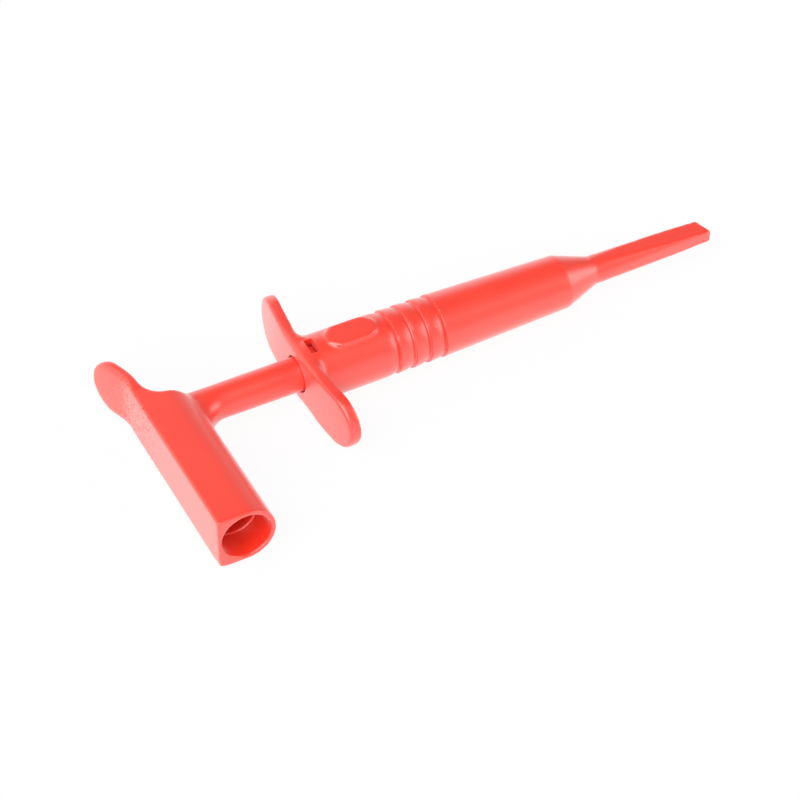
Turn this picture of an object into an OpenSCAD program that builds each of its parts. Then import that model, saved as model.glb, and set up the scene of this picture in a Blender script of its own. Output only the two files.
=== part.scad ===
// Hook test clip: a T-handle with a plug socket pushes a sprung hook out of a slim nose.
// The origin is the centre of the socket's mouth. +X runs along the rod towards the nose,
// +Y runs from the mouth along the handle to the thumb tongue, and +Z is up.

/* [Handle] */
// Distance from the socket's mouth to the rod axis
socket_reach = 29.9; // [27:0.1:40]
// Distance from the socket axis to the flat back of the handle
handle_back = 4.87; // [4.8:0.01:6]
// Half height of the handle, and the radius of its round front
handle_half_h = 5.18; // [5:0.01:6]
// How far the centre of the handle's domed end lies before the rod axis
dome_offset = 0.66; // [0.4:0.02:1]
// How much smaller the dome is than the handle, and the elbows at the stem's root than the stem
dome_step = 0.06; // [0.04:0.01:0.1]
// Distance from the rod axis to the end of the handle's flat top
top_end_y = 1.55; // [1:0.05:2.5]
// Radius of the end of the flat top, seen from above
top_end_r = 5.25; // [5:0.05:6]
// Distance from the rod axis to the end of the thumb tongue
tongue_reach = 14.7; // [13.5:0.1:20]
// Thickness of the thumb tongue
tongue_t = 1.95; // [1.6:0.05:2.4]
// Distance from the rod axis to where the tongue starts to bend back
tongue_bend_y = 5.8; // [5:0.1:7]
// Inner radius of the tongue's bend
tongue_bend_r = 8; // [6:0.1:12]
// Angle by which the tongue's end leans back
tongue_lean = 22; // [10:1:28]
// Radius of the tongue's round end
tongue_end_r = 5.7; // [5.4:0.1:7]
// Radius of the hollow between the tongue and the flat top
tongue_hollow_r = 4.2; // [3:0.1:5]
// Radius of the stem
stem_r = 3.0; // [2.7:0.05:3.3]
// Radius of the fillet between the stem and the socket tube
stem_root_r = 4.3; // [3:0.1:4.8]
// Radius of the fillet between the stem and the domed end
dome_root_r = 2.0; // [1.2:0.1:2.4]

/* [Plug socket] */
// Radius of the socket's wide mouth
mouth_r = 4.25; // [4.1:0.01:4.4]
// Depth of the wide mouth
mouth_depth = 5.4; // [4:0.1:6.4]
// Radius of the shroud bore behind the mouth
shroud_r = 4.0; // [3.7:0.01:4.05]
// Depth of the shroud bore, from the mouth
shroud_depth = 24.0; // [22:0.1:25]
// Depth of the contact's front end, from the mouth
contact_recess = 6.5; // [6.5:0.1:8]
// Outer radius of the contact
contact_r = 2.8; // [2.5:0.05:3.1]
// Radius of the contact's plug bore
plug_r = 2.0; // [1.9:0.01:2.05]
// Depth of the plug bore, from the contact's front end
plug_depth = 15.5; // [12:0.1:16]
// Thickness of the collar that seats the contact
contact_collar_t = 1.0; // [0.8:0.1:1.5]
// Length of the contact past the rod axis
contact_tail = 2.4; // [1.8:0.1:3]

/* [Snap tongue] */
// Width of the snap tongue cut in the stem
snap_w = 2.4; // [2:0.1:2.6]
// Length of the snap tongue
snap_len = 13; // [10:0.5:14]
// Thickness of the snap tongue
snap_t = 1.25; // [1:0.05:1.4]
// Height of the snap barb above the barrel's bore
snap_rise = 0.6; // [0.4:0.05:0.7]
// Length of the barb's flat top
barb_len = 1.3; // [1:0.1:1.6]
// Length of solid stem in front of the snap tongue
stem_tip_len = 5.7; // [4:0.1:8]

/* [Guard] */
// Distance from the handle's axis to the middle of the guard's rear face
guard_x = 23.1; // [22.8:0.1:27]
// Thickness of the guard
guard_t = 2.1; // [1.8:0.1:2.6]
// Half span of the guard
guard_half_span = 17.3; // [15:0.1:20]
// Half height of the guard in the middle
guard_half_h = 5.35; // [5:0.05:5.8]
// How much lower the guard's edge is where its round ends start
guard_crown = 0.25; // [0.15:0.05:0.8]
// How far the guard's ends sweep towards the nose
guard_sweep = 1.6; // [0.8:0.1:2.4]
// Radius of the fillet between the guard's front face and the barrel
guard_root_r = 1.2; // [0.8:0.1:2.6]

/* [Barrel] */
// Turn of the barrel about the rod, within the play of the snap barb
barrel_roll = 2.5; // [-6:0.5:6]
// Radius of the barrel at the guard
barrel_rear_r = 5.7; // [5.4:0.05:6.2]
// Radius of the barrel at the front of its grip rings
barrel_grip_r = 5.6; // [5.4:0.01:6.2]
// Radius of the barrel at its front shoulder
barrel_front_r = 4.86; // [4.6:0.01:5.4]
// Length of the barrel from the guard to its front shoulder
barrel_len = 48.85; // [46:0.05:60]
// Length of the cone between the shoulder and the nose
cone_len = 6.5; // [5:0.1:9]
// Number of grip rings
ring_count = 4; // [2:1:5]
// Distance from the guard to the first grip ring's step
ring_offset = 15.1; // [15:0.1:18]
// Pitch of the grip rings
ring_pitch = 2.94; // [2.4:0.01:3.4]
// Height of a grip ring's step
ring_step = 0.55; // [0.2:0.01:0.6]
// Width of the snap window
window_w = 3.4; // [3.2:0.1:3.8]
// Length of the snap window
window_len = 1.5; // [1.4:0.1:2]
// Distance from the guard to the raised pad
pad_offset = 3.5; // [2.4:0.1:4]
// Length of the raised pad
pad_len = 9.2; // [7:0.1:10]
// Half width of the raised pad
pad_half_w = 2.5; // [2:0.1:2.8]
// How much is cut off each corner of the pad's end at the guard
pad_cut = 1.55; // [0.8:0.05:1.8]
// Height of the raised pad above the barrel's rear radius
pad_rise = 0.3; // [0.2:0.05:0.8]

/* [Nose] */
// Length of the nose from the cone to its longer corner
nose_len = 24.0; // [22:0.1:32]
// Radius of the nose at the cone
nose_r = 2.6; // [2.5:0.05:3.2]
// Width of the nose at its tip
tip_w = 3.5; // [3.4:0.1:4.4]
// Height of the nose at its tip
tip_h = 2.4; // [2.2:0.1:3.4]
// Radius that rounds the nose's long edges at the tip
tip_round_r = 2.2; // [2.15:0.05:3]
// How far the tip's end is cut back on the tongue's side
tip_slant = 1.15; // [0:0.05:1.5]
// Length of the slot that houses the hook
hook_slot_len = 10.5; // [9.5:0.1:12]

/* [Rod, hook and spring] */
// Travel of the handle
stroke = 14; // [8:0.5:14]
// Radius of the core rod
rod_r = 1.0; // [0.8:0.05:1.1]
// Radius of the crimp ferrule
ferrule_r = 1.5; // [1.4:0.05:1.6]
// Length of the crimp ferrule
ferrule_len = 9; // [7:0.5:11]
// Length of rod held in the ferrule
ferrule_grip = 5; // [3:0.5:6]
// Distance from the ferrule's front end to the spring's front wall
ferrule_setback = 4.5; // [3:0.1:6]
// Radius of the hook wire
wire_r = 0.4; // [0.3:0.02:0.44]
// Radius of the hook's bend, at the middle of the wire
hook_bend_r = 0.8; // [0.6:0.02:0.82]
// Length of the hook's return leg
hook_leg = 1.4; // [0.6:0.1:2]
// Depth of the hook in the nose at rest
hook_recess = 1.0; // [0.8:0.1:2]
// Thickness of a spring washer
washer_t = 0.6; // [0.4:0.05:1]
// Radius of the spring wire
spring_wire_r = 0.3; // [0.2:0.02:0.35]
// Number of turns of the spring
spring_turns = 12; // [8:1:14]
// Thickness of the wall at the front of the spring chamber
chamber_wall = 2.6; // [2:0.1:4]

/* [Clearances] */
// Gap between the stem and the barrel's bore
stem_gap = 0.35; // [0.2:0.05:0.4]
// Gap between the snap barb and the walls around it
barb_gap = 0.1; // [0.05:0.01:0.2]
// Gap between the hook wire and the nose
wire_gap = 0.12; // [0.08:0.01:0.15]
// Gap between the ferrule and its passage
ferrule_gap = 0.2; // [0.1:0.05:0.3]
// Gap between the inner pieces and what holds them
seat_gap = 0.02; // [0.01:0.01:0.05]
// Gap between the spring and the bore
spring_gap = 0.4; // [0.3:0.05:0.6]

/* [Hidden] */
$fn = 96;

PLASTIC = "#e8473a";
NICKEL = "#c9c6bd";
BRASS = "#c9a455";
STEEL = "#a9adb2";

// Places along the rod, counted from the socket axis
guard_front_x = guard_x + guard_t;
shoulder_x = guard_front_x + barrel_len;
ring_x = guard_front_x + ring_offset - ring_pitch;
ring_end_x = ring_x + ring_count * ring_pitch;
nose_x = shoulder_x + cone_len;
tip_x = nose_x + nose_len;
tip_mid_x = tip_x - tip_slant / 2;
chamber_x = shoulder_x - chamber_wall;
barb_x = guard_front_x + barb_gap;
snap_root_x = barb_x + snap_len;
stem_end_x = snap_root_x + stem_tip_len;
ferrule_front_x = chamber_x - ferrule_setback;
ferrule_x = ferrule_front_x - ferrule_len;
rod_end_x = ferrule_x + ferrule_grip;
passage_end_x = ferrule_front_x + stroke + barb_gap;
hook_slot_x = tip_x - hook_slot_len;
hook_bend_x = tip_mid_x - hook_recess - hook_bend_r - wire_r;

// Radii and heights that follow from the driving sizes
dome_r = handle_half_h - dome_step;
bore_r = stem_r + stem_gap;
barb_top = bore_r + snap_rise;
groove_top = barb_top + barb_gap;
pad_top = barrel_rear_r + pad_rise;
spring_r = bore_r - spring_gap - spring_wire_r;
washer_r = bore_r - stem_gap / 2;
contact_front_y = contact_recess - socket_reach;
contact_seat_y = shroud_depth - socket_reach;

// A length that carries a cut clear of the faces it opens
past = 1;

// Exponent that shapes the fall of each grip ring
ring_power = 3;

// Points [x, r] turned about the rod axis
module turned(points) {
    rotate([0, 90, 0])
        rotate_extrude()
            polygon([for (p = points) [p[1], p[0]]]);
}

// A round bar along the rod axis
module bar(x0, x1, r) {
    translate([x0, 0, 0])
        rotate([0, 90, 0])
            cylinder(h = x1 - x0, r = r);
}

// A round bar along the handle
module cross_bar(y0, y1, r) {
    translate([0, y0, 0])
        rotate([-90, 0, 0])
            cylinder(h = y1 - y0, r = r);
}

// A block given by its lowest and highest corners
module block(low, high) {
    translate(low)
        cube(high - low);
}

// Moves a piece drawn about the rod and socket axes to the part's own frame
module on_rod() {
    translate([0, socket_reach, 0])
        children();
}

// The same, turned with the barrel
module in_barrel() {
    on_rod()
        rotate([barrel_roll, 0, 0])
            children();
}

// Where two circles in the plane meet, on the left of the line from a to b
function meet(a, ra, b, rb) =
    let (d = norm(b - a))
    let (u = (b - a) / d)
    let (s = (ra * ra - rb * rb + d * d) / (2 * d))
    a + s * u + sqrt(ra * ra - s * s) * [-u[1], u[0]];

// Point at distance r from a, towards b
function towards(a, b, r) = a + r * (b - a) / norm(b - a);

// Handle

// Seen from above: socket tube, the end of its flat top, and the tongue that bends back behind it
module handle_plan() {
    front_x = tongue_t - handle_back;
    bend = [-handle_back - tongue_bend_r, tongue_bend_y];
    bend_front_r = tongue_bend_r + tongue_t;
    end = [0, top_end_y - top_end_r];
    hollow = meet(bend, bend_front_r + tongue_hollow_r, end, top_end_r + tongue_hollow_r);
    wedge_r = 2 * bend_front_r;
    translate([-handle_back, -socket_reach])
        square([handle_back + handle_half_h + past, socket_reach - dome_offset]);
    intersection() {
        translate(end)
            circle(r = top_end_r);
        translate([-handle_back, end[1]])
            square([2 * top_end_r, 2 * top_end_r]);
    }
    translate([-handle_back, end[1]])
        square([tongue_t, tongue_bend_y - end[1]]);
    intersection() {
        translate(bend)
            difference() {
                circle(r = bend_front_r, $fn = 180);
                circle(r = tongue_bend_r, $fn = 180);
            }
        polygon([bend, bend + [wedge_r, 0], bend + wedge_r * [cos(tongue_lean), sin(tongue_lean)]]);
    }
    translate(bend)
        rotate(tongue_lean)
            translate([tongue_bend_r, 0])
                square([tongue_t, tongue_reach]);
    difference() {
        polygon([
            [front_x - tongue_t / 2, end[1]],
            towards(end, hollow, top_end_r),
            hollow,
            towards(bend, hollow, bend_front_r),
            towards(bend, hollow, tongue_bend_r + tongue_t / 2)
        ]);
        translate(hollow)
            circle(r = tongue_hollow_r);
    }
}

// Seen along the handle: flat top and bottom, and a round front
module handle_section() {
    circle(r = handle_half_h);
    translate([-tongue_reach, -handle_half_h])
        square([tongue_reach, 2 * handle_half_h]);
}

// Seen from behind: straight edges and the tongue's round end
module handle_outline() {
    half = handle_half_h + past;
    end_y = tongue_reach - tongue_end_r;
    translate([-socket_reach - past, -half])
        square([socket_reach + past + end_y, 2 * half]);
    translate([end_y, 0])
        circle(r = tongue_end_r);
}

module handle_body() {
    half = handle_half_h + past;
    intersection() {
        translate([0, 0, -half])
            linear_extrude(2 * half)
                handle_plan();
        translate([0, tongue_reach + past, 0])
            rotate([90, 0, 0])
                linear_extrude(tongue_reach + socket_reach + 2 * past)
                    handle_section();
        translate([-tongue_reach, 0, 0])
            rotate([90, 0, 90])
                linear_extrude(2 * tongue_reach)
                    handle_outline();
    }
}

// Ball that rounds the handle's end in front of the tongue
module dome() {
    intersection() {
        translate([0, -dome_offset, 0])
            sphere(r = dome_r);
        block([tongue_t / 2 - handle_back, -2 * dome_r, -2 * dome_r], 2 * dome_r * [1, 1, 1]);
    }
}

// Elbow as thick as the stem: its inside is a fillet that starts at x on the stem
module root_elbow(side, x, fillet_r, sweep) {
    translate([x, side * (stem_r + fillet_r), 0])
        rotate(180 - (side < 0 ? 90 : sweep - 90))
            rotate_extrude(angle = sweep, $fn = 64)
                translate([stem_r + fillet_r, 0])
                    circle(r = stem_r - dome_step);
}

// Fillets where the stem leaves the handle
module stem_root() {
    dome_reach = dome_r + dome_root_r;
    dome_side = stem_r + dome_root_r + dome_offset;
    dome_lean = acos(dome_side / dome_reach);
    root_elbow(-1, handle_half_h + stem_root_r, stem_root_r, 90);
    root_elbow(1, dome_reach * sin(dome_lean), dome_root_r, dome_lean);
}

// Sprung tongue at the front of the stem, with the barb that catches behind the guard
module snap_tongue() {
    low = stem_r - snap_t;
    slope = snap_rise + stem_gap;
    intersection() {
        bar(barb_x, snap_root_x + past, stem_r);
        block([barb_x, -snap_w / 2, low], [snap_root_x + past, snap_w / 2, stem_r]);
    }
    rotate([90, 0, 0])
        translate([0, 0, -snap_w / 2])
            linear_extrude(snap_w)
                polygon([
                    [barb_x, low],
                    [barb_x, barb_top],
                    [barb_x + barb_len, barb_top],
                    [barb_x + barb_len + 2 * slope, stem_r - slope / 2],
                    [barb_x + barb_len + 2 * slope, low]
                ]);
}

module handle() {
    slot_half = snap_w / 2 + snap_t / 2;
    color(PLASTIC)
        on_rod() {
            difference() {
                union() {
                    handle_body();
                    dome();
                    stem_root();
                    bar(0, stem_end_x, stem_r);
                }
                cross_bar(-socket_reach - past, mouth_depth - socket_reach, mouth_r);
                cross_bar(-socket_reach - past, contact_seat_y, shroud_r);
                cross_bar(contact_seat_y - past, contact_tail + seat_gap, contact_r + seat_gap);
                bar(0, stem_end_x + past, rod_r + seat_gap);
                block([barb_x - snap_t, -slot_half, 0], [snap_root_x, slot_half, stem_r + past]);
            }
            snap_tongue();
        }
}

// Plug socket and conductor

module socket_contact() {
    color(NICKEL)
        on_rod()
            difference() {
                union() {
                    cross_bar(contact_front_y, contact_tail, contact_r);
                    cross_bar(contact_seat_y - contact_collar_t, contact_seat_y, shroud_r - seat_gap);
                }
                cross_bar(contact_front_y - past, contact_front_y + plug_depth, plug_r);
                bar(-contact_r - past, contact_r + past, rod_r);
            }
}

module core_rod() {
    color(BRASS)
        on_rod()
            bar(-sqrt(contact_r * contact_r - rod_r * rod_r), rod_end_x, rod_r);
}

// The rod enters on the axis, and the hook wire leaves to one side of it
module rod_ferrule() {
    color(NICKEL)
        in_barrel()
            difference() {
                bar(ferrule_x, ferrule_front_x, ferrule_r);
                bar(ferrule_x - past, rod_end_x, rod_r);
                translate([0, hook_bend_r, 0])
                    bar(rod_end_x - past, ferrule_front_x + past, wire_r);
            }
}

// A straight length of hook wire that runs back from the bend, at one side of the rod axis
module wire_run(length, y) {
    translate([0, y, 0])
        rotate([0, -90, 0])
            cylinder(h = length, r = wire_r);
}

module hook() {
    color(STEEL)
        in_barrel()
            translate([hook_bend_x, 0, 0]) {
                wire_run(hook_bend_x - rod_end_x, hook_bend_r);
                rotate([0, 0, -90])
                    rotate_extrude(angle = 180)
                        translate([hook_bend_r, 0])
                            circle(r = wire_r);
                wire_run(hook_leg, -hook_bend_r);
            }
}

// Return spring

// Axial place of the wire after u turns: one closed turn at each end, even pitch between
function coil_x(u, length) =
    let (closed = 2 * spring_wire_r + seat_gap)
    u < 1 ? closed * u :
    u > spring_turns - 1 ? length - closed * (spring_turns - u) :
    closed + (length - 2 * closed) * (u - 1) / (spring_turns - 2);

module return_spring() {
    x0 = stem_end_x + washer_t + spring_wire_r + seat_gap;
    length = chamber_x - washer_t - spring_wire_r - seat_gap - x0;
    steps = 18;
    sides = 6;
    last = spring_turns * steps;
    rings = [for (i = [0 : last])
        for (j = [0 : sides - 1])
            let (turn = 360 * i / steps)
            let (around = 360 * j / sides)
            let (r = spring_r + spring_wire_r * cos(around))
            [x0 + coil_x(i / steps, length) + spring_wire_r * sin(around), r * cos(turn), r * sin(turn)]];
    skin = [for (i = [0 : last - 1])
        for (j = [0 : sides - 1])
            let (k = (j + 1) % sides)
            [i * sides + j, i * sides + k, (i + 1) * sides + k, (i + 1) * sides + j]];
    ends = [[for (j = [sides - 1 : -1 : 0]) j], [for (j = [0 : sides - 1]) last * sides + j]];
    color(STEEL)
        on_rod()
            polyhedron(points = rings, faces = concat(skin, ends));
}

module washer(x, hole_r) {
    color(STEEL)
        on_rod()
            difference() {
                bar(x, x + washer_t, washer_r);
                bar(x - past, x + washer_t + past, hole_r);
            }
}

module rear_washer() {
    washer(stem_end_x, rod_r + seat_gap);
}

module front_washer() {
    washer(chamber_x - washer_t, ferrule_r + ferrule_gap);
}

// Barrel

// Radius of the barrel over its grip rings, between the guard and the front of the last one
function grip_r(x) =
    let (t = (x - guard_front_x) / (ring_end_x - guard_front_x))
    barrel_rear_r + (barrel_grip_r - barrel_rear_r) * t;

// Turned outline of the barrel: grip rings that fall away to a step facing the guard, then a long cone
module barrel_body() {
    rear_x = guard_x + guard_t / 4;
    ring_steps = 5;
    rings = [for (i = [0 : ring_count - 1])
        for (j = [0 : ring_steps])
            let (t = j / ring_steps)
            let (x = ring_x + (i + t) * ring_pitch)
            [x, grip_r(x) - ring_step * pow(t, ring_power)]];
    turned(concat(
        [[rear_x, 0], [rear_x, guard_half_h], [guard_front_x, barrel_rear_r]],
        rings,
        [[ring_end_x, barrel_grip_r], [shoulder_x, barrel_front_r], [nose_x, nose_r], [nose_x, 0]]
    ));
}

// Outline of the guard, seen along the rod: bowed long edges and round ends
module guard_outline() {
    arm = guard_half_span - guard_half_h;
    edge_r = (arm * arm + guard_crown * guard_crown) / (2 * guard_crown);
    intersection() {
        union() {
            square([2 * arm, 2 * guard_half_h], center = true);
            for (side = [-1, 1])
                translate([side * arm, 0])
                    circle(r = guard_half_h);
        }
        for (side = [-1, 1])
            translate([0, side * (edge_r - guard_half_h)])
                circle(r = edge_r, $fn = 360);
    }
}

// Fillet that runs from the guard's front face onto the barrel, as high as the guard
module guard_root() {
    intersection() {
        difference() {
            bar(guard_x + guard_t / 2, guard_front_x + guard_root_r, barrel_rear_r + guard_root_r);
            translate([guard_front_x + guard_root_r, 0, 0])
                rotate([0, 90, 0])
                    rotate_extrude()
                        translate([barrel_rear_r + guard_root_r, 0])
                            circle(r = guard_root_r);
        }
        translate([guard_x, 0, 0])
            rotate([90, 0, 90])
                linear_extrude(guard_t + guard_root_r + past)
                    guard_outline();
    }
}

module guard() {
    sweep_r = (guard_half_span * guard_half_span + guard_sweep * guard_sweep) / (2 * guard_sweep);
    intersection() {
        translate([guard_x + sweep_r, 0, -guard_half_h - past])
            linear_extrude(2 * (guard_half_h + past))
                difference() {
                    circle(r = sweep_r, $fn = 360);
                    circle(r = sweep_r - guard_t, $fn = 360);
                }
        translate([guard_x - past, 0, 0])
            rotate([90, 0, 90])
                linear_extrude(guard_t + 2 * guard_sweep + 2 * past)
                    guard_outline();
    }
}

// Raised pad: an angular end at the guard and a round end at the rings
module pad() {
    x0 = guard_front_x + pad_offset;
    round_x = x0 + pad_len - pad_half_w;
    translate([0, 0, groove_top + barb_gap])
        linear_extrude(pad_top - groove_top - barb_gap) {
            polygon([
                [x0, -pad_half_w + pad_cut],
                [x0 + pad_cut, -pad_half_w],
                [round_x, -pad_half_w],
                [round_x, pad_half_w],
                [x0 + pad_cut, pad_half_w],
                [x0, pad_half_w - pad_cut]
            ]);
            translate([round_x, 0])
                circle(r = pad_half_w);
        }
}

// Nose: round at the cone, a flat bar at the tip, with a slanted end
module nose() {
    x0 = nose_x - past;
    intersection() {
        turned([[x0, 0], [x0, nose_r], [nose_x, nose_r], [tip_x, tip_round_r], [tip_x, 0]]);
        translate([0, nose_r, 0])
            rotate([90, 0, 0])
                linear_extrude(2 * nose_r)
                    polygon([
                        [x0, -nose_r],
                        [nose_x, -nose_r],
                        [tip_x, -tip_h / 2],
                        [tip_x, tip_h / 2],
                        [nose_x, nose_r],
                        [x0, nose_r]
                    ]);
        translate([0, 0, -nose_r])
            linear_extrude(2 * nose_r)
                polygon([
                    [x0, -nose_r],
                    [nose_x, -nose_r],
                    [tip_x, -tip_w / 2],
                    [tip_x - tip_slant, tip_w / 2],
                    [nose_x, nose_r],
                    [x0, nose_r]
                ]);
    }
}

module barrel() {
    slot_half_w = hook_bend_r + wire_r + wire_gap;
    slot_half_h = wire_r + wire_gap;
    groove_end_x = barb_x + barb_len + stroke + 2 * (snap_rise + stem_gap) + barb_gap;
    color(PLASTIC)
        in_barrel()
            difference() {
                union() {
                    guard();
                    guard_root();
                    barrel_body();
                    pad();
                    nose();
                }
                bar(guard_x - past, chamber_x, bore_r);
                block([guard_front_x, -window_w / 2, 0], [groove_end_x, window_w / 2, groove_top]);
                block([guard_front_x, -window_w / 2, 0],
                      [guard_front_x + window_len, window_w / 2, pad_top + past]);
                bar(chamber_x - past, passage_end_x, ferrule_r + ferrule_gap);
                translate([0, hook_bend_r, 0])
                    bar(passage_end_x - past, hook_slot_x + past, wire_r + wire_gap);
                block([hook_slot_x, -slot_half_w, -slot_half_h], [tip_x + past, slot_half_w, slot_half_h]);
            }
}

barrel();
handle();
socket_contact();
core_rod();
rod_ferrule();
hook();
return_spring();
rear_washer();
front_washer();
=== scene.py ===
"""Test hook clip: a red T-handle whose stem slides in a ribbed barrel with a finger guard
and a slit nose."""

import math

import bmesh
import bpy
from mathutils import Matrix, Vector
from mathutils.bvhtree import BVHTree


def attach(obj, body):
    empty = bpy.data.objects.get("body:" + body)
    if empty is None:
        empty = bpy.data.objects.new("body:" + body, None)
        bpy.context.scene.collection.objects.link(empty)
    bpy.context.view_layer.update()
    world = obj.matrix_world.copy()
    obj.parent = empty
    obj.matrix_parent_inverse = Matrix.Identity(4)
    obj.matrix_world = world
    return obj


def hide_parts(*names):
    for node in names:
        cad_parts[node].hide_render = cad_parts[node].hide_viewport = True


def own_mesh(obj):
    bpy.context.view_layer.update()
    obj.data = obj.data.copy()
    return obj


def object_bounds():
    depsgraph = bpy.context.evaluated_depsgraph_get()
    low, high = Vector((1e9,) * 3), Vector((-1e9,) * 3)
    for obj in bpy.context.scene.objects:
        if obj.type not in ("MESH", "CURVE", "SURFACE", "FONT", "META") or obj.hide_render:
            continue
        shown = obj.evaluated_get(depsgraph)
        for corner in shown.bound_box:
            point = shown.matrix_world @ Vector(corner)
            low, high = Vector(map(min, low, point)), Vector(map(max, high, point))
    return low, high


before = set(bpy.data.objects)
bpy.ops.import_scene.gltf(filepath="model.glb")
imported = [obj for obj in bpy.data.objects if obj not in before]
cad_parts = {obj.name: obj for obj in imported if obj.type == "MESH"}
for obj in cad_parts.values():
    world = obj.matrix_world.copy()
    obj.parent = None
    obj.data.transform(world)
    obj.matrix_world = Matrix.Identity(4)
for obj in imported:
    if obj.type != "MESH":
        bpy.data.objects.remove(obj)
cad_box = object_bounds()

MM = 0.001
scene = bpy.context.scene
scene.view_settings.view_transform = "Standard"

# Places on the clip in mm: the socket's mouth is at the origin, its tube runs along +Y and the
# rod along +X.
ROD_Y = 29.9
HANDLE_BACK_X = -4.87
TONGUE_Y = 38.9
# The pitted patch fades in between the first two and out between the last two.
PATCH_Y = (21, 29, 36, 41)
SPRING_X = (44.6, 70.85)
SPRING_WIRE_R = 0.3
SPRING_MEAN_R = 2.65
SPRING_TURNS = 12
SPRING_GAP = 0.02


# Materials

# Sockets of a colour mix: its share, its two colours and what comes out.
MIX_SHARE, MIX_FROM, MIX_TO, MIX_COLOUR = 0, 6, 7, 2


def linear(written):
    """A written sRGB colour as the linear colour that shaders take."""
    channels = [int(written[i:i + 2], 16) / 255 for i in (1, 3, 5)]
    return tuple(c / 12.92 if c <= 0.04045 else ((c + 0.055) / 1.055) ** 2.4
                 for c in channels) + (1.0,)


def per_mm(size):
    """A pattern's scale for features of that size in mm, on coordinates in metres."""
    return 1 / (size * MM)


def add(tree, kind, inputs=(), **settings):
    """One node with its settings; an input is a number, a colour or another node's output."""
    made = tree.nodes.new(kind)
    for name, value in settings.items():
        setattr(made, name, value)
    for name, value in dict(inputs).items():
        if isinstance(value, bpy.types.NodeSocket):
            tree.links.new(value, made.inputs[name])
        else:
            made.inputs[name].default_value = value
    return made


def blank(name):
    """A new material, its node tree and the coordinates in which it is drawn."""
    material = bpy.data.materials.new(name)
    material.use_nodes = True
    tree = material.node_tree
    tree.nodes.clear()
    where = add(tree, "ShaderNodeTexCoord").outputs["Object"]
    return material, tree, where


def red_moulded_polyamide():
    """Injection-moulded polyamide dyed coral red.

    A smooth satin skin that goes pale at a glancing angle, with a faint flow in the red, a fine
    mould grain, and a spark-eroded patch on the thumb tongue's back whose dull pits are painted
    a darker red as painted shade in them."""
    material, tree, where = blank("red_moulded_polyamide")
    flow = add(tree, "ShaderNodeTexNoise", {"Vector": where, "Scale": per_mm(9), "Detail": 1.0})
    # The mould's polish is finer than a pixel; drawn at 0.4 mm so that it shows.
    grain = add(tree, "ShaderNodeTexNoise", {"Vector": where, "Scale": per_mm(0.4), "Detail": 2.0})
    # Spark erosion leaves pits of about 0.1 mm; drawn at 0.4 mm so that they show.
    pits = add(tree, "ShaderNodeTexNoise", {"Vector": where, "Scale": per_mm(0.4), "Detail": 1.0})

    axes = add(tree, "ShaderNodeSeparateXYZ", {"Vector": where})
    back = add(tree, "ShaderNodeMapRange", {
        "Value": axes.outputs["X"],
        "From Min": (HANDLE_BACK_X + 0.5) * MM, "From Max": (HANDLE_BACK_X + 0.2) * MM})
    begin = add(tree, "ShaderNodeMapRange", {
        "Value": axes.outputs["Y"], "From Min": PATCH_Y[0] * MM, "From Max": PATCH_Y[1] * MM})
    end = add(tree, "ShaderNodeMapRange", {
        "Value": axes.outputs["Y"], "From Min": PATCH_Y[3] * MM, "From Max": PATCH_Y[2] * MM})
    length = add(tree, "ShaderNodeMath", {0: begin.outputs[0], 1: end.outputs[0]},
                 operation="MULTIPLY")
    patch = add(tree, "ShaderNodeMath", {0: back.outputs[0], 1: length.outputs[0]},
                operation="MULTIPLY")
    pits_and_painted_pit_shade = add(tree, "ShaderNodeMapRange", {
        "Value": pits.outputs["Fac"], "From Min": 0.54, "From Max": 0.64})
    pits_and_painted_pit_shade = add(tree, "ShaderNodeMath", {0: pits_and_painted_pit_shade.outputs[0], 1: patch.outputs[0]},
                 operation="MULTIPLY")

    tone = add(tree, "ShaderNodeMapRange", {
        "Value": flow.outputs["Fac"], "From Min": 0.3, "From Max": 0.7})
    red = add(tree, "ShaderNodeMix", {
        MIX_SHARE: tone.outputs[0], MIX_FROM: linear("#F92E12"), MIX_TO: linear("#FB3418")},
        data_type="RGBA")
    # The pits' red is painted darker here: painted shade in the pits, on top of their real
    # dullness and bumps.
    red = add(tree, "ShaderNodeMix", {
        MIX_SHARE: pits_and_painted_pit_shade.outputs[0], MIX_FROM: red.outputs[MIX_COLOUR],
        MIX_TO: linear("#DC2A16")}, data_type="RGBA")
    # The pits are dull: their roughness is full and the moulded gloss is missing.
    rough = add(tree, "ShaderNodeMapRange", {
        "Value": grain.outputs["Fac"], "From Min": 0.3, "From Max": 0.7,
        "To Min": 0.36, "To Max": 0.46})
    rough = add(tree, "ShaderNodeMath", {0: rough.outputs[0], 1: pits_and_painted_pit_shade.outputs[0]},
                operation="MAXIMUM")
    gloss = add(tree, "ShaderNodeMapRange", {
        "Value": pits_and_painted_pit_shade.outputs[0], "To Min": 1.0, "To Max": 0.1})
    skin = add(tree, "ShaderNodeBump", {
        "Height": grain.outputs["Fac"], "Strength": 0.05, "Distance": 0.02 * MM})
    skin = add(tree, "ShaderNodeBump", {
        "Height": pits_and_painted_pit_shade.outputs[0], "Strength": 1.0, "Distance": 0.04 * MM,
        "Normal": skin.outputs[0]}, invert=True)
    shader = add(tree, "ShaderNodeBsdfPrincipled", {
        "Base Color": red.outputs[MIX_COLOUR], "Roughness": rough.outputs[0], "IOR": 1.53,
        "Normal": skin.outputs[0], "Specular IOR Level": 0.8, "Coat Weight": gloss.outputs[0],
        "Coat Roughness": 0.33, "Coat IOR": 1.65, "Sheen Weight": 0.5, "Sheen Roughness": 0.3})
    add(tree, "ShaderNodeOutputMaterial", {"Surface": shader.outputs[0]})
    return material


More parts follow.
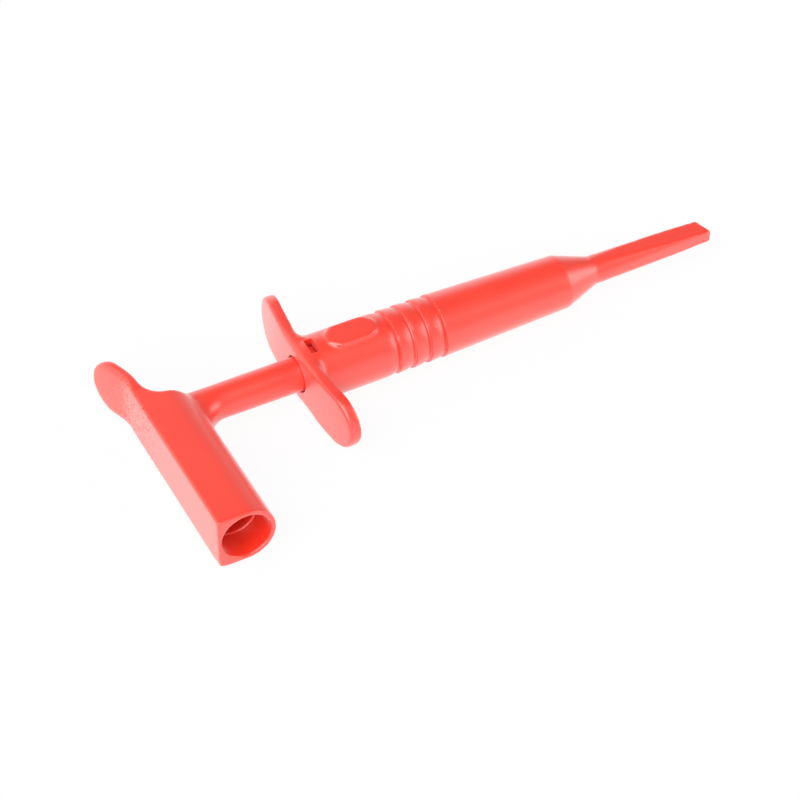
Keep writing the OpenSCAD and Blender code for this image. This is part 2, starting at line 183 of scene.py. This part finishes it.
def turned_nickel_plate(name, axis, colour_from, colour_to):
    """Turned brass or crimped copper under nickel: warm grey metal with the tool's fine rings
    showing through."""
    material, tree, where = blank(name)
    axes = add(tree, "ShaderNodeSeparateXYZ", {"Vector": where})
    along = add(tree, "ShaderNodeCombineXYZ", {"X": axes.outputs[axis]})
    # A turning feed is about 0.1 mm; drawn at 0.3 mm so that the rings show.
    rings = add(tree, "ShaderNodeTexNoise", {
        "Vector": along.outputs[0], "Scale": per_mm(0.3), "Detail": 1.0})
    haze = add(tree, "ShaderNodeTexNoise", {"Vector": where, "Scale": per_mm(2.5), "Detail": 2.0})
    tone = add(tree, "ShaderNodeMapRange", {
        "Value": haze.outputs["Fac"], "From Min": 0.3, "From Max": 0.7})
    metal = add(tree, "ShaderNodeMix", {
        MIX_SHARE: tone.outputs[0], MIX_FROM: linear(colour_from), MIX_TO: linear(colour_to)},
        data_type="RGBA")
    rough = add(tree, "ShaderNodeMapRange", {
        "Value": rings.outputs["Fac"], "To Min": 0.14, "To Max": 0.34})
    lathe = add(tree, "ShaderNodeBump", {
        "Height": rings.outputs["Fac"], "Strength": 0.25, "Distance": 0.02 * MM})
    shader = add(tree, "ShaderNodeBsdfPrincipled", {
        "Base Color": metal.outputs[MIX_COLOUR], "Metallic": 1.0, "Roughness": rough.outputs[0],
        "Normal": lathe.outputs[0]})
    add(tree, "ShaderNodeOutputMaterial", {"Surface": shader.outputs[0]})
    return material


def drawn_wire(name, colour_from, colour_to, rough_from, rough_to):
    """Metal pulled through a die: fine bright and dull streaks along its length."""
    material, tree, where = blank(name)
    stretched = add(tree, "ShaderNodeMapping", {"Vector": where, "Scale": (0.04, 1.0, 1.0)})
    # Die lines are a few hundredths of a mm; drawn at 0.12 mm so that they show.
    streaks = add(tree, "ShaderNodeTexNoise", {
        "Vector": stretched.outputs[0], "Scale": per_mm(0.12), "Detail": 1.0})
    tone = add(tree, "ShaderNodeMapRange", {
        "Value": streaks.outputs["Fac"], "From Min": 0.3, "From Max": 0.7})
    metal = add(tree, "ShaderNodeMix", {
        MIX_SHARE: tone.outputs[0], MIX_FROM: linear(colour_from), MIX_TO: linear(colour_to)},
        data_type="RGBA")
    rough = add(tree, "ShaderNodeMapRange", {
        "Value": streaks.outputs["Fac"], "To Min": rough_from, "To Max": rough_to})
    die = add(tree, "ShaderNodeBump", {
        "Height": streaks.outputs["Fac"], "Strength": 0.2, "Distance": 0.01 * MM})
    shader = add(tree, "ShaderNodeBsdfPrincipled", {
        "Base Color": metal.outputs[MIX_COLOUR], "Metallic": 1.0, "Roughness": rough.outputs[0],
        "Normal": die.outputs[0]})
    add(tree, "ShaderNodeOutputMaterial", {"Surface": shader.outputs[0]})
    return material


def stamped_steel():
    """Blanked steel strip: a dull rolled face with a mottled oil bloom."""
    material, tree, where = blank("stamped_steel")
    bloom = add(tree, "ShaderNodeTexNoise", {"Vector": where, "Scale": per_mm(0.8), "Detail": 3.0})
    tone = add(tree, "ShaderNodeMapRange", {
        "Value": bloom.outputs["Fac"], "From Min": 0.35, "From Max": 0.65})
    metal = add(tree, "ShaderNodeMix", {
        MIX_SHARE: tone.outputs[0], MIX_FROM: linear("#A9ABAE"), MIX_TO: linear("#BFC1C3")},
        data_type="RGBA")
    rough = add(tree, "ShaderNodeMapRange", {
        "Value": bloom.outputs["Fac"], "To Min": 0.3, "To Max": 0.5})
    rolled = add(tree, "ShaderNodeBump", {
        "Height": bloom.outputs["Fac"], "Strength": 0.15, "Distance": 0.02 * MM})
    shader = add(tree, "ShaderNodeBsdfPrincipled", {
        "Base Color": metal.outputs[MIX_COLOUR], "Metallic": 1.0, "Roughness": rough.outputs[0],
        "Normal": rolled.outputs[0]})
    add(tree, "ShaderNodeOutputMaterial", {"Surface": shader.outputs[0]})
    return material


polyamide = red_moulded_polyamide()
contact_nickel = turned_nickel_plate("turned_nickel_plated_brass", "Y", "#CFC7B8", "#DBD5C8")
ferrule_nickel = turned_nickel_plate("crimped_nickel_plated_copper", "X", "#C8C2B6", "#D6D0C4")
rod_brass = drawn_wire("drawn_brass_rod", "#C99E4E", "#DDB868", 0.2, 0.36)
hook_steel = drawn_wire("drawn_stainless_wire", "#B4B5B6", "#CFD0D0", 0.18, 0.34)
spring_steel = drawn_wire("drawn_spring_steel", "#9A9B9D", "#B8BABC", 0.24, 0.42)
washer_steel = stamped_steel()


# Mouldings

# Size of the grid in mm on which a moulding's skin is laid, and how it is then smoothed.
VOXEL = 0.13
FIRST_PASSES = 3
SOFTENING_PASSES = 400
KEPT_FACES = 0.3
CREASE = math.radians(32)
FLAT_FACE_WEIGHT = 80

# How soft the edges of each place are; at 1 they are rounded over about 1.3 mm.
STEM_ROOT_SOFT = 0.5
LOW_CORNER_SOFT = 0.4
HANDLE_EDGE_SOFT = 0.14
MOUTH_SOFT = 0.04
GUARD_RIM_SOFT = 0.08
GUARD_TIP_EXTRA = 0.06
GUARD_SOFT = 0.25
GUARD_ROOT_EXTRA = 0.45
SHOULDER_SOFT = 0.1
PAD_SOFT = 0.18
NOSE_SOFT = 0.12
NOSE_END_LOSS = 0.7
TONGUE_SWELL = 0.1


def ease(low, high, value):
    """0 below low, 1 above high, smooth between."""
    t = min(max((value - low) / (high - low), 0), 1)
    return t * t * (3 - 2 * t)


def bowed(mesh, cuts=4):
    """The mesh in mm with each facet cut and bowed to its corners' normals, so that round faces
    are truly round."""
    mesh.calc_loop_triangles()
    normals = mesh.corner_normals
    points, faces = [], []
    for facet in mesh.loop_triangles:
        corners = [mesh.vertices[i].co / MM for i in facet.vertices]
        facing = [normals[i].vector for i in facet.loops]
        index = {}
        for a in range(cuts + 1):
            for b in range(cuts + 1 - a):
                shares = (a / cuts, b / cuts, 1 - (a + b) / cuts)
                flat = sum((c * w for c, w in zip(corners, shares)), Vector())
                lift = sum((n * w * (c - flat).dot(n)
                            for c, n, w in zip(corners, facing, shares)), Vector())
                index[a, b] = len(points)
                points.append(flat + lift / 2)
        for a in range(cuts):
            for b in range(cuts - a):
                faces.append((index[a, b], index[a + 1, b], index[a, b + 1]))
                if a + b < cuts - 1:
                    faces.append((index[a + 1, b], index[a + 1, b + 1], index[a, b + 1]))
    fine = bpy.data.meshes.new("bowed")
    fine.from_pydata(points, [], faces)
    return fine


def settled(mesh, shares, *steps):
    """The mesh after those modifier steps.

    Shares are the points' weights for a step that has a vertex group."""
    holder = bpy.data.objects.new("settling", mesh)
    scene.collection.objects.link(holder)
    if shares:
        group = holder.vertex_groups.new(name="share")
        for index, weight in enumerate(shares):
            if weight > 0:
                group.add([index], weight, "REPLACE")
    for kind, settings in steps:
        step = holder.modifiers.new(kind, kind)
        for name, value in settings.items():
            setattr(step, name, value)
    ready = holder.evaluated_get(bpy.context.evaluated_depsgraph_get())
    result = bpy.data.meshes.new_from_object(ready)
    bpy.data.objects.remove(holder)
    return result


def moulded(node, softer, swell=None):
    """A CAD node's form as it leaves the mould: edges just broken, and softer where
    softer(x, y, z) in mm says so.

    A rim that softening would pull in is first moved out by swell(x, y, z)."""
    form = bowed(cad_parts[node].data)
    skin = BVHTree.FromPolygons([v.co for v in form.vertices], [f.vertices for f in form.polygons])
    mesh = settled(form, None,
                   ("REMESH", {"mode": "VOXEL", "voxel_size": VOXEL}),
                   ("SMOOTH", {"factor": 0.5, "iterations": FIRST_PASSES}))
    shares = [softer(*v.co) for v in mesh.vertices]
    for vertex in mesh.vertices:
        vertex.co = skin.find_nearest(vertex.co)[0]
        if swell:
            vertex.co += swell(*vertex.co)
    mesh = settled(mesh, shares,
                   ("SMOOTH", {"factor": 0.5, "iterations": SOFTENING_PASSES,
                               "vertex_group": "share"}),
                   ("DECIMATE", {"ratio": KEPT_FACES}))
    mesh.transform(Matrix.Scale(MM, 4))
    mesh.shade_smooth()
    mesh.set_sharp_from_angle(angle=CREASE)
    return settled(mesh, None,
                   ("WEIGHTED_NORMAL", {"weight": FLAT_FACE_WEIGHT, "keep_sharp": True}))


def shown(name, mesh, material, body, slot, *nodes):
    """A piece of the clip that stands for CAD nodes and moves with a body."""
    mesh.materials.clear()
    mesh.materials.append(material)
    piece = bpy.data.objects.new(name, mesh)
    scene.collection.objects.link(piece)
    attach(piece, body)
    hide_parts(*nodes)
    return piece


def tongue_share(x, y, z):
    """1 on the thumb tongue, 0 on the rest of the handle."""
    return ease(33, 38, y) * ease(-2, -4, x)


def handle_softness(x, y, z):
    """Full on the thumb tongue, half at the stem's root, some on the handle's other edges, none
    on the stem."""
    root = ease(1, 4, x) * ease(14, 9, x) * ease(10, 7, abs(y - ROD_Y + 1))
    off_tube = max(math.hypot(x, z), 5.2 * ease(1, 0.4, y))
    outside = ease(4.3, 4.7, off_tube) * ease(8, 5.5, x)
    corner = ease(3, 1.2, y) * ease(-3, -4.4, x) * ease(-2.8, -4.4, z)
    mouth = ease(0.7, 0.3, y)
    return max(tongue_share(x, y, z), STEM_ROOT_SOFT * root, LOW_CORNER_SOFT * corner,
               HANDLE_EDGE_SOFT * outside, MOUTH_SOFT * mouth)


def tongue_swell(x, y, z):
    """Outwards from the middle of the tongue."""
    return TONGUE_SWELL * tongue_share(x, y, z) * Vector((0, y - TONGUE_Y, z))


def barrel_softness(x, y, z):
    """Some on the guard's rim and root, the pad, the shoulder and along the nose, less where the
    nose is cut off."""
    across = y - ROD_Y
    off_axis = math.hypot(across, z)
    tip = ease(11, 15, abs(across))
    wing = ease(7, 9, off_axis) * (GUARD_RIM_SOFT + GUARD_TIP_EXTRA * tip)
    beside_window = max(ease(2.2, 3, abs(across)), ease(24.7, 24.2, x), ease(4, 2, z))
    near_barrel = ease(9, 7, off_axis)
    guard = ease(4.6, 5.2, off_axis) * ease(28.5, 26.5, x) * beside_window
    root = (GUARD_SOFT + GUARD_ROOT_EXTRA * near_barrel) * guard
    shoulder = SHOULDER_SOFT * ease(72, 73.5, x) * ease(4, 4.4, off_axis)
    pad_length = ease(27.8, 28.2, x) * ease(39, 38.4, x)
    pad = PAD_SOFT * pad_length * ease(5.1, 5.3, z) * ease(3.6, 3.2, abs(across))
    nose = NOSE_SOFT * ease(78, 82, x) * (1 - NOSE_END_LOSS * ease(101, 104, x))
    return max(wing, root, pad, shoulder, nose)


handle = shown("handle_moulding", moulded("handle", handle_softness, tongue_swell), polyamide,
               "plunger", "moulded_plastic", "handle")
barrel = shown("barrel_moulding", moulded("barrel", barrel_softness), polyamide,
               "barrel", "moulded_plastic", "barrel")


# Return spring

def coil_x(turn, length):
    """How far along the spring a turn is; the first and last turns are closed."""
    closed = 2 * SPRING_WIRE_R + SPRING_GAP
    if turn < 1:
        return closed * turn
    if turn > SPRING_TURNS - 1:
        return length - closed * (SPRING_TURNS - turn)
    return closed + (length - 2 * closed) * (turn - 1) / (SPRING_TURNS - 2)


def wound_spring(steps=48, sides=14):
    """The wire wound on its mean radius, its ends cut square."""
    start = SPRING_X[0] + SPRING_WIRE_R + SPRING_GAP
    length = SPRING_X[1] - SPRING_WIRE_R - SPRING_GAP - start
    form = bmesh.new()
    rounds = []
    for i in range(SPRING_TURNS * steps + 1):
        turn = math.tau * i / steps
        middle = start + coil_x(i / steps, length)
        wire = []
        for j in range(sides):
            around = math.tau * j / sides
            r = SPRING_MEAN_R + SPRING_WIRE_R * math.cos(around)
            at = (middle + SPRING_WIRE_R * math.sin(around),
                  ROD_Y + r * math.cos(turn), r * math.sin(turn))
            wire.append(form.verts.new([c * MM for c in at]))
        rounds.append(wire)
    for a, b in zip(rounds, rounds[1:]):
        for j in range(sides):
            k = (j + 1) % sides
            form.faces.new((a[j], a[k], b[k], b[j])).smooth = True
    form.faces.new(rounds[0][::-1])
    form.faces.new(rounds[-1])
    bmesh.ops.recalc_face_normals(form, faces=form.faces)
    mesh = bpy.data.meshes.new("return_spring_wire")
    form.to_mesh(mesh)
    form.free()
    return mesh


spring = shown("return_spring_wire", wound_spring(), spring_steel,
               "barrel", "spring_steel", "return_spring")
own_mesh(spring)


# Metal pieces

METALS = {
    "socket_contact": contact_nickel,
    "core_rod": rod_brass,
    "rod_ferrule": ferrule_nickel,
    "hook": hook_steel,
    "rear_washer": washer_steel,
    "front_washer": washer_steel,
}
for node, material in METALS.items():
    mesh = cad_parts[node].data
    for index in range(len(mesh.materials)):
        mesh.materials[index] = material


# Floor, light and camera

# Share of plain white in what is seen of the floor; the rest is the lit sheet and its shadow.
FLOOR_WHITE = 0.94
# The tent's wall is white up to the first of these heights, and grey from the second.
TENT_TURNS = (0.1, 0.55)
TENT_GREY = 0.22
TENT_BEHIND = -0.5
TENT_PAST_NOSE = 0.6


def pale_floor():
    """A pale sheet under the clip, which shows white and keeps the soft shadow."""
    form = bmesh.new()
    bmesh.ops.create_grid(form, x_segments=8, y_segments=8, size=3.0)
    mesh = bpy.data.meshes.new("floor_sheet")
    form.to_mesh(mesh)
    form.free()
    floor = bpy.data.objects.new("floor_sheet", mesh)
    floor.location = (0.05, 0.03, cad_box[0].z)
    scene.collection.objects.link(floor)
    material, tree, where = blank("pale_floor_sheet")
    path = add(tree, "ShaderNodeLightPath")
    seen = add(tree, "ShaderNodeMath", {
        0: path.outputs["Is Camera Ray"], 1: path.outputs["Is Glossy Ray"]}, operation="MAXIMUM")
    seen = add(tree, "ShaderNodeMath", {
        0: seen.outputs[0], 1: path.outputs["Is Transmission Ray"]}, operation="MAXIMUM")
    share = add(tree, "ShaderNodeMath", {0: seen.outputs[0], 1: FLOOR_WHITE},
                operation="MULTIPLY")
    sheet = add(tree, "ShaderNodeBsdfDiffuse", {"Color": linear("#F4F4F4")})
    white = add(tree, "ShaderNodeEmission", {"Color": linear("#FFFFFF"), "Strength": 1.0})
    both = add(tree, "ShaderNodeMixShader", {
        0: share.outputs[0], 1: sheet.outputs[0], 2: white.outputs[0]})
    add(tree, "ShaderNodeOutputMaterial", {"Surface": both.outputs[0]})
    mesh.materials.append(material)


def studio():
    """A light tent: white low down and behind the clip, greyer overhead and past the nose; the
    camera sees white."""
    world = bpy.data.worlds.new("studio")
    scene.world = world
    world.use_nodes = True
    tree = world.node_tree
    tree.nodes.clear()
    where = add(tree, "ShaderNodeTexCoord").outputs["Generated"]
    axes = add(tree, "ShaderNodeSeparateXYZ", {"Vector": where})
    behind = add(tree, "ShaderNodeMath", {0: axes.outputs["Y"], 1: 0.0}, operation="MAXIMUM")
    height = add(tree, "ShaderNodeMath", {
        0: behind.outputs[0], 1: TENT_BEHIND, 2: axes.outputs["Z"]}, operation="MULTIPLY_ADD")
    height = add(tree, "ShaderNodeMath", {
        0: axes.outputs["X"], 1: TENT_PAST_NOSE, 2: height.outputs[0]}, operation="MULTIPLY_ADD")
    level = add(tree, "ShaderNodeMapRange", {
        "Value": height.outputs[0], "From Min": TENT_TURNS[0], "From Max": TENT_TURNS[1],
        "To Min": 1.0, "To Max": TENT_GREY})
    path = add(tree, "ShaderNodeLightPath")
    strength = add(tree, "ShaderNodeMath", {
        0: path.outputs["Is Camera Ray"], 1: level.outputs[0]}, operation="MAXIMUM")
    back = add(tree, "ShaderNodeBackground", {
        "Color": linear("#FFFFFF"), "Strength": strength.outputs[0]})
    add(tree, "ShaderNodeOutputWorld", {"Surface": back.outputs[0]})


def softbox(name, at, width, height, brightness):
    """A soft lamp that faces the clip; its face is that many times as bright as white."""
    lamp = bpy.data.lights.new(name, "AREA")
    lamp.shape = "RECTANGLE"
    lamp.size = width
    lamp.size_y = height
    lamp.energy = brightness * math.pi * width * height
    stand = bpy.data.objects.new(name, lamp)
    stand.location = at
    towards_clip = Vector((0.04, 0.03, 0)) - Vector(at)
    stand.rotation_euler = towards_clip.to_track_quat("-Z", "Y").to_euler()
    scene.collection.objects.link(stand)


def photo_camera():
    """The camera at the photograph's place: right, up and back are its own axes."""
    right = Vector((0.884888, -0.465799, 0.002090))
    up = Vector((0.320537, 0.612173, 0.722842))
    back = Vector((-0.337979, -0.638964, 0.691010))
    camera = bpy.data.cameras.new("photo_camera")
    camera.sensor_width = 36
    camera.lens = 108
    camera.clip_start = 0.01
    stand = bpy.data.objects.new("photo_camera", camera)
    turn = Matrix((right, up, back)).transposed().to_4x4()
    stand.matrix_world = Matrix.Translation((-0.098977, -0.238143, 0.275126)) @ turn
    scene.collection.objects.link(stand)
    scene.camera = stand


pale_floor()
studio()
softbox("softbox_key", at=(-1.1, -0.95, 1.55), width=2.6, height=2.6, brightness=2.6)
softbox("softbox_fill", at=(1.6, -0.75, 0.66), width=1.2, height=1.2, brightness=2.4)
photo_camera()
